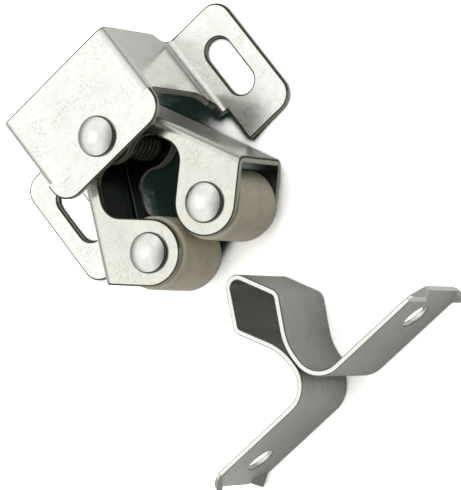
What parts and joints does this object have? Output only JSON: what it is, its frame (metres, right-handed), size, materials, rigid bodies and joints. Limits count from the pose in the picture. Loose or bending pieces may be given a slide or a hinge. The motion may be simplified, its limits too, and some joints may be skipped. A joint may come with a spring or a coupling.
{
  "type": "double roller catch",
  "caption": "Sprung double roller catch in plated sheet steel, with its spear strike, for a cabinet door.",
  "frame": {"origin": "where the arms' pivot axis meets the mounting face of the housing", "axes": "+Z away from the mounting face, -Y out of the roller mouth towards the strike, X from screw ear to screw ear"},
  "size_m": [0.0461, 0.0639, 0.0209],
  "materials": {
    "plated_steel": "satin",
    "rivet_steel": "satin",
    "spring_steel": "satin",
    "roller_nylon": "matte",
    "strike_steel": "satin"
  },
  "bodies": {
    "root": {"housing": "plated_steel", "pivot_rivet": "rivet_steel", "torsion_spring": "spring_steel", "strike": "strike_steel"},
    "right_arm": {"arm_right": "plated_steel", "roller_pin_right": "rivet_steel"},
    "left_arm": {"arm_left": "plated_steel", "roller_pin_left": "rivet_steel"},
    "right_roller": {"roller_right": "roller_nylon"},
    "left_roller": {"roller_left": "roller_nylon"}
  },
  "joints": [
    {"name": "right_arm_swing", "type": "hinge", "parent": "root", "child": "right_arm", "pos_m": [0, 0, 0], "axis": [0, 0, 1], "range_deg": [0, 16], "stiffness_Nm_per_rad": 0.26, "springref_deg": -28.65, "deforming": ["torsion_spring"]},
    {"name": "left_arm_swing", "type": "hinge", "parent": "root", "child": "left_arm", "pos_m": [0, 0, 0], "axis": [0, 0, -1], "range_deg": [0, 16], "stiffness_Nm_per_rad": 0.26, "springref_deg": -28.65},
    {"name": "right_roller_spin", "type": "hinge", "parent": "right_arm", "child": "right_roller", "pos_m": [0.0057, -0.0178, 0.0084], "axis": [0, 0, 1], "continuous": true},
    {"name": "left_roller_spin", "type": "hinge", "parent": "left_arm", "child": "left_roller", "pos_m": [-0.0057, -0.0178, 0.00945], "axis": [0, 0, 1], "continuous": true}
  ]
}
